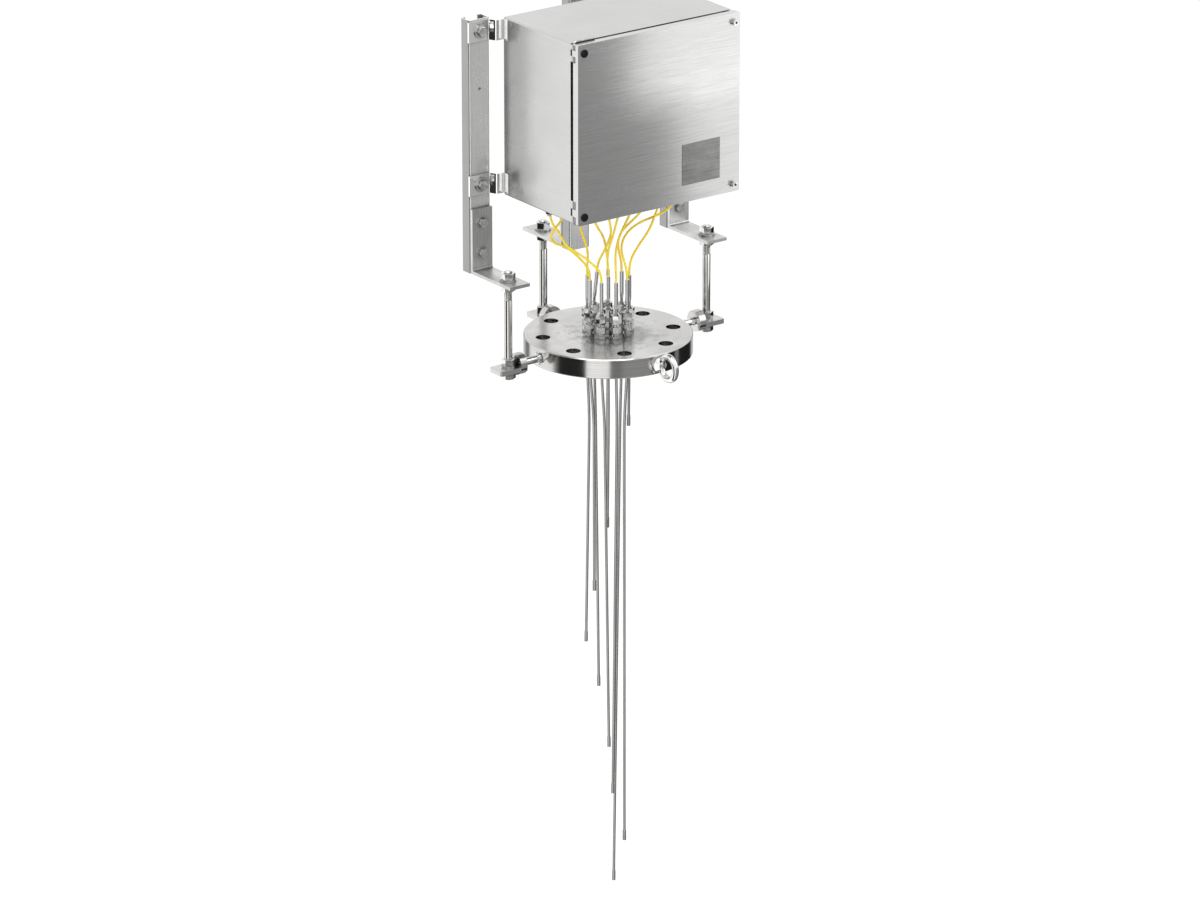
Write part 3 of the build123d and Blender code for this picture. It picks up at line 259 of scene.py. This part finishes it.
def freshMaterial(name):
    material = bpy.data.materials.new(name)
    material.use_nodes = True
    return material, material.node_tree, material.node_tree.nodes["Principled BSDF"]


# metals: grain between two greys, clouded, then darkened by painted shade (patches, sides, and where pieces
# meet), with the same grain in gloss and relief
relief = dict(depth=0.02, bandShare=0.6)


def steelColour(tree, look, grain, clouds):
    contrast = look["contrast"]
    share = mapRange(tree, grain.outputs["Grain"], 0, 1, 0.5 - contrast, 0.5 + contrast)
    colour = mixColour(tree, share, look["dark"], look["light"])
    colour = mixColour(tree, mapRange(tree, clouds, 0, 1, 0.0, look["clouding"]), colour, look["dark"])
    # painted shade: dark patches mixed into the colour round given points
    for spot in look.get("paintedShadeSpots", []):
        near = placeGroup(tree, "paintedShadeSpot", Centre=spot["centre"], Reach=spot["reach"])
        colour = mixColour(tree, near.outputs["Share"], colour, spot["colour"])
    # painted side shade: faces that look left or right are darkened in colour
    if "paintedSideShade" in look:
        sideways = placeGroup(tree, "paintedSideShade")
        colour = mixColour(tree, sideways.outputs["Share"], colour, look["paintedSideShade"])
    # painted contact shade: the colour is darkened where pieces meet, in place of their shadow
    if "paintedContactShade" in look:
        paintedContactShadow = placeGroup(tree, "paintedContactShade", Reach=look["paintedContactShade"] * mm)
        colour = mixColour(tree, paintedContactShadow.outputs["Share"], colour, paintedContactShadeLook["colour"])
    return colour


def steelRoughness(tree, look, grain, clouds):
    smoothest, roughest, marked = look["rough"]
    bands = grain.outputs["Bands"]
    rough = mathNode(tree, "ADD", mapRange(tree, bands, 0, 1, smoothest, roughest),
                     mapRange(tree, clouds, 0, 1, 0.0, marked))
    if "wallRough" in look:
        wallRough = mapRange(tree, bands, 0, 1, *look["wallRough"])
        rough = mixFloat(tree, grain.outputs["Wall"], rough, wallRough)
    return rough


def steelNormal(tree, look, grain):
    bands = mathNode(tree, "MULTIPLY", grain.outputs["Bands"], relief["bandShare"])
    height = mathNode(tree, "ADD", grain.outputs["Grain"], bands)
    sag = None
    if "sag" in look:
        scale, depth = look["sag"]
        sag = bumpNormal(tree, noise(tree, objectPlace(tree), scale, detail=1.0), 1.0, depth)
    return bumpNormal(tree, height, look["bump"], relief["depth"], sag)


def steel(name, look):
    material, tree, shader = freshMaterial(name)
    if "turned" in look:
        grain = placeGroup(tree, "turned", Rings_per_metre=look["turned"])
    else:
        grain = placeGroup(tree, "grain", Stretch=look["stretch"])
    clouds = placeGroup(tree, "marks", Scale=look["cloudScale"]).outputs["Clouds"]
    tree.links.new(steelColour(tree, look, grain, clouds), shader.inputs["Base Color"])
    tree.links.new(steelRoughness(tree, look, grain, clouds), shader.inputs["Roughness"])
    tree.links.new(steelNormal(tree, look, grain), shader.inputs["Normal"])
    shader.inputs["Metallic"].default_value = 1.0
    return material


# plastics and rubber: clouded colour and gloss over a fine pimple
softLook = dict(pimpleDepth=0.05, coatRough=0.3)


def plastic(name, look):
    material, tree, shader = freshMaterial(name)
    clouds = placeGroup(tree, "marks", Scale=look["cloudScale"]).outputs["Clouds"]
    tree.links.new(mixColour(tree, clouds, look["dark"], look["light"]), shader.inputs["Base Color"])
    tree.links.new(mapRange(tree, clouds, 0, 1, *look["rough"]), shader.inputs["Roughness"])
    shader.inputs["Specular IOR Level"].default_value = look.get("specular", 0.5)
    shader.inputs["Coat Weight"].default_value = look.get("coat", 0.0)
    shader.inputs["Coat Roughness"].default_value = softLook["coatRough"]
    pimples = noise(tree, objectPlace(tree), look["pimple"])
    normal = bumpNormal(tree, pimples, look["bump"], softLook["pimpleDepth"])
    tree.links.new(normal, shader.inputs["Normal"])
    return material


# painted shade: dark patches on the flange top under the fittings, for their shadow and dark reflection
# there, and on the box beside the straps
paintedFittingShade = [dict(centre=(0.004, -0.012, 0.0302), reach=0.078, colour=(0.13, 0.13, 0.128))]
paintedStrapShade = []
for strapX in (-0.147, 0.147):
    paintedStrapShade.append(dict(centre=(strapX, 0.038, 0.512), reach=0.02, colour=(0.24, 0.24, 0.235)))
    paintedStrapShade.append(dict(centre=(strapX, 0.034, 0.285), reach=0.03, colour=(0.3, 0.3, 0.295)))

# metals by the record's slot; rough is smoothest, roughest and what the marks add
metals = {
    "machined_steel": dict(
        dark=(0.38, 0.375, 0.365), light=(0.7, 0.695, 0.68), turned=500.0, contrast=0.2, cloudScale=16,
        clouding=0.35, rough=(0.16, 0.22, 0.06), bump=0.08, wallRough=(0.1, 0.15), paintedShadeSpots=paintedFittingShade),
    "forged_steel": dict(
        dark=(0.62, 0.62, 0.61), light=(0.84, 0.84, 0.83), stretch=(90, 90, 90), contrast=0.1,
        cloudScale=60, clouding=0.1, rough=(0.06, 0.1, 0.04), bump=0.05),
    "turned_steel": dict(
        dark=(0.62, 0.62, 0.61), light=(1.0, 1.0, 0.99), stretch=(260, 260, 200), contrast=0.3,
        cloudScale=140, clouding=0.1, rough=(0.03, 0.05, 0.02), bump=0.0, paintedContactShade=4),
    "black_steel": dict(
        dark=(0.03, 0.03, 0.03), light=(0.08, 0.08, 0.08), stretch=(300, 300, 300), contrast=0.2,
        cloudScale=90, clouding=0.2, rough=(0.35, 0.45, 0.1), bump=0.2),
    "rod_steel": dict(
        dark=(0.5, 0.49, 0.475), light=(0.74, 0.73, 0.71), stretch=(300, 300, 40), contrast=0.15,
        cloudScale=40, clouding=0.1, rough=(0.1, 0.15, 0.04), bump=0.02),
    "bolt_steel": dict(
        dark=(0.4, 0.4, 0.395), light=(0.95, 0.95, 0.94), stretch=(160, 160, 160), contrast=0.35,
        cloudScale=120, clouding=0.2, rough=(0.05, 0.08, 0.03), bump=0.03, paintedContactShade=7),
    "bracket_steel": dict(
        dark=(0.44, 0.44, 0.435), light=(0.7, 0.7, 0.69), stretch=(400, 30, 30), contrast=0.25,
        cloudScale=18, clouding=0.3, rough=(0.24, 0.32, 0.08), bump=0.15, paintedContactShade=7),
    "strut_steel": dict(
        dark=(0.78, 0.78, 0.77), light=(0.98, 0.98, 0.97), stretch=(500, 500, 9), contrast=0.2,
        cloudScale=12, clouding=0.2, rough=(0.22, 0.3, 0.08), bump=0.15, paintedContactShade=8,
        paintedSideShade=(0.17, 0.17, 0.168)),
    "bright_steel": dict(
        dark=(0.8, 0.8, 0.79), light=(1.0, 1.0, 0.99), stretch=(60, 60, 1500), contrast=0.15,
        cloudScale=40, clouding=0.12, rough=(0.06, 0.1, 0.04), bump=0.05, paintedContactShade=8),
    "sheet_steel": dict(
        dark=(0.45, 0.45, 0.445), light=(0.61, 0.61, 0.605), stretch=(220, 8, 220), contrast=0.05,
        cloudScale=7, clouding=0.15, rough=(0.24, 0.28, 0.05), bump=0.0, sag=(6.0, 0.5), paintedShadeSpots=paintedStrapShade),
    "brushed_sheet": dict(
        dark=(0.45, 0.45, 0.445), light=(0.69, 0.69, 0.685), stretch=(20, 620, 620), contrast=0.17,
        cloudScale=7, clouding=0.08, rough=(0.23, 0.27, 0.02), bump=0.08, sag=(4.0, 0.15)),
    "plate_steel": dict(
        dark=(0.2, 0.2, 0.197), light=(0.4, 0.4, 0.395), stretch=(14, 600, 600), contrast=0.3,
        cloudScale=40, clouding=0.3, rough=(0.32, 0.4, 0.08), bump=0.2),
    "gland_metal": dict(
        dark=(0.5, 0.49, 0.46), light=(0.78, 0.77, 0.73), stretch=(300, 300, 900), contrast=0.15,
        cloudScale=70, clouding=0.15, rough=(0.12, 0.18, 0.05), bump=0.06),
    "zinc_rail": dict(
        dark=(0.4, 0.4, 0.37), light=(0.66, 0.66, 0.62), stretch=(9, 500, 500), contrast=0.2,
        cloudScale=45, clouding=0.4, rough=(0.35, 0.45, 0.1), bump=0.15),
    "sleeve_steel": dict(
        dark=(0.5, 0.5, 0.49), light=(0.9, 0.9, 0.89), stretch=(500, 500, 14), contrast=0.15,
        cloudScale=60, clouding=0.15, rough=(0.06, 0.1, 0.03), bump=0.0),
    "sheath_steel": dict(
        dark=(0.34, 0.34, 0.33), light=(0.72, 0.72, 0.71), stretch=(500, 500, 10), contrast=0.15,
        cloudScale=20, clouding=0.2, rough=(0.07, 0.11, 0.03), bump=0.0),
}
plastics = {
    "gasket_foam": dict(
        dark=(0.02, 0.02, 0.02), light=(0.045, 0.045, 0.045), cloudScale=60, rough=(0.8, 0.95),
        pimple=2500, bump=0.6),
    "black_plastic": dict(
        dark=(0.004, 0.004, 0.004), light=(0.01, 0.01, 0.01), cloudScale=80, rough=(0.35, 0.5),
        pimple=3000, bump=0.2, specular=0.15),
    "terminal_plastic": dict(
        dark=(0.33, 0.34, 0.32), light=(0.42, 0.43, 0.41), cloudScale=50, rough=(0.5, 0.62),
        pimple=3500, bump=0.2),
    "yellow_lead": dict(
        dark=(1.0, 0.68, 0.01), light=(1.0, 0.82, 0.016), cloudScale=25, rough=(0.24, 0.34),
        pimple=1800, bump=0.03, coat=0.3),
}
materials = {name: steel(name, look) for name, look in metals.items()}
materials.update({name: plastic(name, look) for name, look in plastics.items()})
for row in record["subparts"]:
    for holder in nodes[row["node"]].material_slots:
        holder.material = materials[row["material_slot"]]
print("materials:", len(materials))

# the camera stands far off so that its lens needs no shift
view = dict(place=(-6.204, -8.412, 3.635), yaw=36.342, pitch=-19.941, focalPixels=7403.2,
            frameWidth=1200, sensor=36.0, nearest=0.1, farthest=200.0)


def placeCamera():
    data = bpy.data.cameras.new("camera")
    data.sensor_width = view["sensor"]
    data.lens = view["focalPixels"] * view["sensor"] / view["frameWidth"]
    data.clip_start = view["nearest"]
    data.clip_end = view["farthest"]
    camera = bpy.data.objects.new("camera", data)
    bpy.context.scene.collection.objects.link(camera)
    camera.location = view["place"]
    camera.rotation_euler = (math.radians(90 + view["pitch"]), 0, -math.radians(view["yaw"]))
    bpy.context.scene.camera = camera


placeCamera()
print("camera placed")


def boxOf(name):
    piece = nodes[name]
    corners = [piece.matrix_world @ Vector(corner) for corner in piece.bound_box]
    low = Vector([min(corner[axis] for corner in corners) for axis in range(3)])
    high = Vector([max(corner[axis] for corner in corners) for axis in range(3)])
    return low / mm, high / mm


# leads: the same points as the solids, in millimetres, heights from the flange's top face
flangeTop = round(boxOf("flange")[1].z, 2)
lead = dict(diameter=3.5, glandPitch=26.0, glandY=-13.0, straightLow=201.0, straightHigh=246.0,
            riserStart=271.0, entryY=-5.0, end=295.2, arcShare=0.45, order=3, curveSteps=10, rimSteps=4)
leadRoutes = [
    [(-26.2, -18.4, 88), (-26.2, -18.4, 101.5), (-36, -16, 115), (-53, -14, 131), (-71, -12, 144),
     (-88, -11, 158), (-100, -14, 179)],
    [(-31.9, 2.8, 88), (-31.9, 2.8, 101), (-40, 5, 115), (-54, 7, 130), (-69, 7, 144), (-82, 7, 151),
     (-95, 9, 156.5), (-102, 6, 168.5), (-100, -3, 183)],
    [(-22.6, 22.6, 88), (-22.6, 22.6, 101), (-25, 17, 117), (-32, 9, 135), (-43, 2, 153), (-55, -5, 174)],
    [(18.4, 26.2, 88), (18.4, 26.2, 101), (15, 24.5, 116), (7.5, 18, 134), (-6, 6, 152), (-21, -3, 168),
     (-30, -7, 180)],
    [(0.36, 29.13, 87.9), (1.3, 28.3, 101), (4, 19, 118), (6, 9, 136), (5, -1, 155), (-3, -8, 175)],
    [(0, 0, 88), (0, 0, 101), (-2, 0, 117), (-1, -3, 134), (2, -8, 151), (7, -11, 173)],
    [(-8.3, -30.9, 88), (-8.3, -30.9, 102), (-6, -26, 118), (0, -19, 135), (10, -14, 152), (22, -12, 168),
     (30, -11, 179)],
    [(30.9, 8.3, 88), (30.9, 8.3, 101), (28, 11, 117), (27, 13, 133), (32, 11, 149), (42, 4, 162),
     (55, -5, 177)],
    [(29, -13.5, 88), (29, -13.5, 101), (35, -12, 115), (47, -12, 130), (60, -13, 144), (71, -12, 157),
     (79, -11, 173)],
    [(13.5, -29, 88), (13.5, -29, 101), (12, -24, 115), (13, -14, 130), (22, -7, 145), (38, -4, 156),
     (57, -4, 163), (77, -6, 167), (96, -9, 172), (109, -12, 181)],
]


def leadPoints(index, route):
    glandX = (index - (len(leadRoutes) - 1) / 2) * lead["glandPitch"]
    ending = [
        (glandX, lead["glandY"], lead["straightLow"]),
        (glandX, lead["glandY"], lead["straightHigh"]),
        (glandX, lead["entryY"], lead["riserStart"]),
        (glandX, lead["entryY"], lead["end"]),
    ]
    return [Vector((x, y, z + flangeTop)) * mm for x, y, z in route + ending]


# length of the solid's path: straight runs, and at each point an arc tangent to both
def tubeLength(points):
    total = sum((after - before).length for before, after in zip(points, points[1:]))
    for before, corner, after in zip(points, points[1:], points[2:]):
        runIn, runOut = corner - before, after - corner
        turn = runIn.angle(runOut)
        cut = lead["arcShare"] * min(runIn.length, runOut.length)
        if turn > 0:
            total += cut * turn / math.tan(turn / 2) - 2 * cut
    return total


def makeLead(index, route):
    points = leadPoints(index, route)
    data = bpy.data.curves.new(f"lead{index + 1}", "CURVE")
    data.dimensions = "3D"
    data.resolution_u = lead["curveSteps"]
    data.bevel_depth = lead["diameter"] / 2 * mm
    data.bevel_resolution = lead["rimSteps"]
    data.use_fill_caps = True
    spline = data.splines.new("NURBS")
    spline.points.add(len(points) - 1)
    for knot, point in zip(spline.points, points):
        knot.co = (*point, 1)
    spline.order_u = lead["order"]
    spline.use_endpoint_u = True
    piece = bpy.data.objects.new(f"leadCable{index + 1}", data)
    bpy.context.scene.collection.objects.link(piece)
    data.materials.append(materials["yellow_lead"])
    piece.visible_glossy = False
    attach(piece, "frame")
    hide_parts(f"lead_{index + 1:02d}")
    tubeLength(points)


for index, route in enumerate(leadRoutes):
    makeLead(index, route)
print("leads laid:", len(leadRoutes))

# threaded rods: plain shank between cut threads at both ends, in millimetres
rod = dict(radius=6.0, root=5.35, pitch=1.75, threadLow=34.0, threadHigh=46.0, chamfer=1.2, segments=32,
           helixRise=0.9, sharpAngle=40)
threadProfile = ((0.25, rod["root"]), (0.5, rod["root"]), (0.85, rod["radius"]))
rodsLow, rodsHigh = boxOf("threaded_rods")
rodSpacing = round(rodsHigh.x - rod["radius"], 1)
rearRodY = round(rodsHigh.y - rod["radius"], 1)


# levels up one rod: height, radius, and whether the ring follows the thread
def rodLevels():
    low, high = rodsLow.z, rodsHigh.z
    tipRadius = rod["radius"] - rod["chamfer"]
    bottomThread = (low + rod["chamfer"], low + rod["threadLow"])
    topThread = (high - rod["threadHigh"], high - rod["chamfer"])
    levels = [(low, tipRadius, False), (low + rod["chamfer"], rod["radius"], False)]
    for start, end in (bottomThread, topThread):
        levels.append((start, rod["radius"], False))
        for turn in range(int((end - start) / rod["pitch"])):
            for share, radius in threadProfile:
                levels.append((start + (turn + share) * rod["pitch"], radius, True))
        levels.append((end, rod["radius"], False))
    return levels + [(high - rod["chamfer"], rod["radius"], False), (high, tipRadius, False)]


def rodRing(x, y, z, radius, threaded):
    ring = []
    for step in range(rod["segments"]):
        angle = 2 * math.pi * step / rod["segments"]
        rise = rod["pitch"] * (step / rod["segments"] - 0.5) * rod["helixRise"] if threaded else 0
        place = Vector((x + radius * math.cos(angle), y + radius * math.sin(angle), z + rise))
        ring.append(place * mm)
    return ring


def makeRods():
    vertices, faces = [], []
    levels = rodLevels()
    count = rod["segments"]
    for x, y in ((rodSpacing, 0), (0, rearRodY), (-rodSpacing, 0)):
        first = len(vertices)
        last = first + (len(levels) - 1) * count
        for z, radius, threaded in levels:
            vertices += rodRing(x, y, z, radius, threaded)
        for ring in range(first, last, count):
            for step in range(count):
                a, b = ring + step, ring + (step + 1) % count
                faces.append((a, b, b + count, a + count))
        faces.append(tuple(first + step for step in reversed(range(count))))
        faces.append(tuple(last + step for step in range(count)))
    mesh = bpy.data.meshes.new("rodThreads")
    mesh.from_pydata(vertices, [], faces)
    mesh.materials.append(materials["rod_steel"])
    mesh.polygons.foreach_set("use_smooth", [True] * len(mesh.polygons))
    mesh.set_sharp_from_angle(angle=math.radians(rod["sharpAngle"]))
    piece = bpy.data.objects.new("rodThreads", mesh)
    bpy.context.scene.collection.objects.link(piece)
    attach(piece, "frame")
    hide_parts("threaded_rods")


makeRods()
print("rods threaded")

# floor, a little under the hanging tips
floorLook = dict(height=-0.9, half=40.0, colour=(0.6, 0.6, 0.6), glow=0.46, rough=0.9, specular=0.1)


def layFloor():
    half, height = floorLook["half"], floorLook["height"]
    corners = [(-half, -half, height), (half, -half, height), (half, half, height), (-half, half, height)]
    mesh = bpy.data.meshes.new("floor")
    mesh.from_pydata(corners, [], [(0, 1, 2, 3)])
    floor = bpy.data.objects.new("floor", mesh)
    bpy.context.scene.collection.objects.link(floor)
    material, tree, shader = freshMaterial("palePaper")
    shader.inputs["Base Color"].default_value = (*floorLook["colour"], 1)
    shader.inputs["Roughness"].default_value = floorLook["rough"]
    shader.inputs["Specular IOR Level"].default_value = floorLook["specular"]
    shader.inputs["Emission Color"].default_value = (1, 1, 1, 1)
    shader.inputs["Emission Strength"].default_value = floorLook["glow"]
    mesh.materials.append(material)
    floor.visible_glossy = False


layFloor()
print("floor laid")

# studio tent: dark and bright bands stand round the object, given by their turn from the camera's side;
# each part of the tent begins and ends at the heights in its row, as the sine of the angle above level
tent = dict(low=0.04, high=0.95, above=1.22, zenith=0.45, seen=0.97)
tentHeights = dict(glow=(-0.8, 0.6), above=(0.05, 0.3), zenith=(0.6, 0.9))
bands = [
    dict(turn=-107, inner=22, outer=32, light=1.4),
    dict(turn=-52, inner=17, outer=23, light=0.03),
    dict(turn=-14, inner=14, outer=18, light=1.45),
    dict(turn=50, inner=26, outer=36, light=0.4),
    dict(turn=118, inner=32, outer=40, light=0.02),
    dict(turn=107, inner=2, outer=5, light=0.35),
    dict(turn=180, inner=18, outer=34, light=0.75),
]


def bandShare(tree, level, band):
    angle = math.radians(band["turn"] - 90 - view["yaw"])
    aim = addNode(tree, "ShaderNodeVectorMath", operation="DOT_PRODUCT")
    tree.links.new(level, aim.inputs[0])
    aim.inputs[1].default_value = (math.cos(angle), math.sin(angle), 0)
    edges = [math.cos(math.radians(band[edge])) for edge in ("outer", "inner")]
    return mapRange(tree, aim.outputs["Value"], *edges, 0.0, 1.0, smooth=True)


def hangTent():
    world = bpy.data.worlds.new("tent")
    bpy.context.scene.world = world
    world.use_nodes = True
    tree = world.node_tree
    background = tree.nodes["Background"]
    direction = addNode(tree, "ShaderNodeTexCoord").outputs["Generated"]
    flat = addNode(tree, "ShaderNodeVectorMath", operation="MULTIPLY")
    tree.links.new(direction, flat.inputs[0])
    flat.inputs[1].default_value = (1, 1, 0)
    level = addNode(tree, "ShaderNodeVectorMath", operation="NORMALIZE")
    tree.links.new(flat.outputs[0], level.inputs[0])
    height = splitAxes(tree, direction)["Z"]
    glow = mapRange(tree, height, *tentHeights["glow"], tent["low"], tent["high"], smooth=True)
    for band in bands:
        glow = mixFloat(tree, bandShare(tree, level.outputs[0], band), glow, band["light"])
    for part in ("above", "zenith"):
        share = mapRange(tree, height, *tentHeights[part], 0.0, 1.0, smooth=True)
        glow = mixFloat(tree, share, glow, tent[part])
    path = addNode(tree, "ShaderNodeLightPath")
    glow = mixFloat(tree, path.outputs["Is Camera Ray"], glow, tent["seen"])
    tree.links.new(glow, background.inputs["Strength"])
    background.inputs["Color"].default_value = (1, 1, 1, 1)


hangTent()

# soft boxes: a panel and a low strip before the cover, and one large box overhead
softboxes = [
    dict(name="coverPanel", place=(0.435, -0.38, 0.535), aim=(0.435, -0.12, 0.535), size=(0.6, 0.42),
         watts=0.86),
    dict(name="coverFoot", place=(0.5, -0.4, 0.18), aim=(0.5, -0.12, 0.21), size=(0.5, 0.3), watts=0.46),
    dict(name="overhead", place=(-0.6, -0.6, 2.6), aim=(0, 0, 0.2), size=(2.4, 2.4), watts=48.0),
]


def hangSoftbox(box):
    data = bpy.data.lights.new(box["name"], "AREA")
    data.shape = "RECTANGLE"
    data.size, data.size_y = box["size"]
    data.energy = box["watts"]
    lamp = bpy.data.objects.new(box["name"], data)
    bpy.context.scene.collection.objects.link(lamp)
    lamp.location = box["place"]
    towards = Vector(box["aim"]) - Vector(box["place"])
    lamp.rotation_euler = towards.to_track_quat("-Z", "Y").to_euler()
    lamp.visible_camera = False


for box in softboxes:
    hangSoftbox(box)
bpy.context.scene.view_settings.view_transform = "Standard"
print("studio lit")
